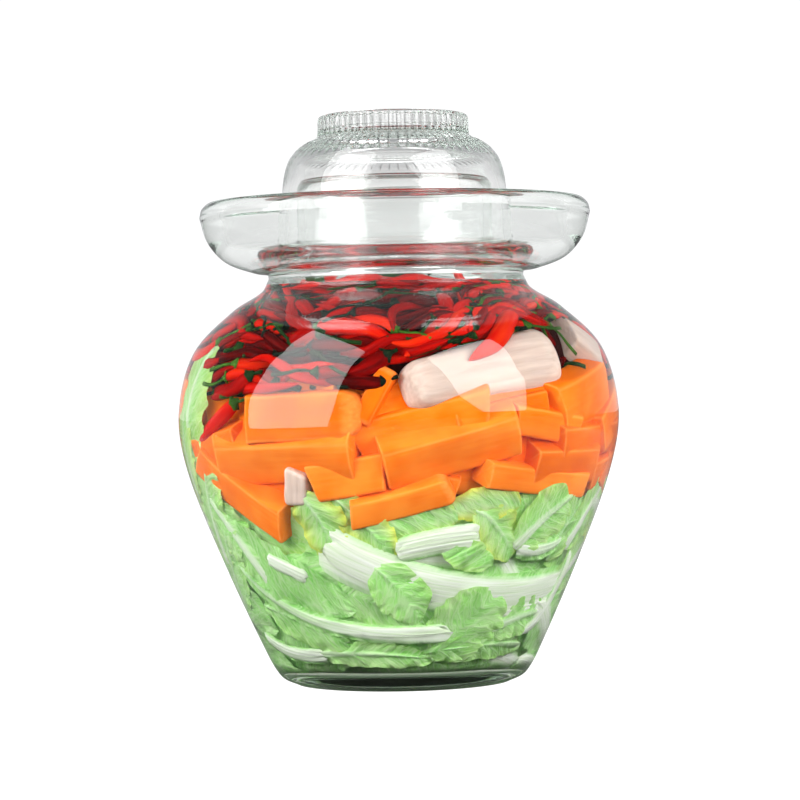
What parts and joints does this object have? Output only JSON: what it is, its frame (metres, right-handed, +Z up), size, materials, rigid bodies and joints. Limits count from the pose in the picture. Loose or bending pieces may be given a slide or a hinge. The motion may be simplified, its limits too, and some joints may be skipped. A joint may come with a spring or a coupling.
{
  "type": "glass pickling jar",
  "caption": "Round clear glass pickling jar with a water moat round its neck and a loose ribbed glass lid, filled with cabbage, carrot, radish and red chillies in brine.",
  "frame": {"origin": "centre of the jar's foot, on the surface it stands on", "axes": "+Z up along the jar's axis, -Y towards the side that the picture shows"},
  "size_m": [0.205, 0.205, 0.264],
  "materials": {
    "jar_glass": "clear pressed and blown soda-lime glass",
    "lid_glass": "clear pressed soda-lime glass",
    "chilli": "glossy red pod skin with green stems",
    "carrot": "cut wet carrot",
    "cabbage": "pale green crinkled leaf with white ribs",
    "radish": "peeled translucent white root"
  },
  "bodies": {
    "root": {"jar": "jar_glass", "lid": "lid_glass", "chilli_heap": "chilli", "carrot_heap": "carrot", "cabbage_heap": "cabbage", "radish_baton": "radish", "radish_chunk": "radish"}
  },
  "joints": []
}
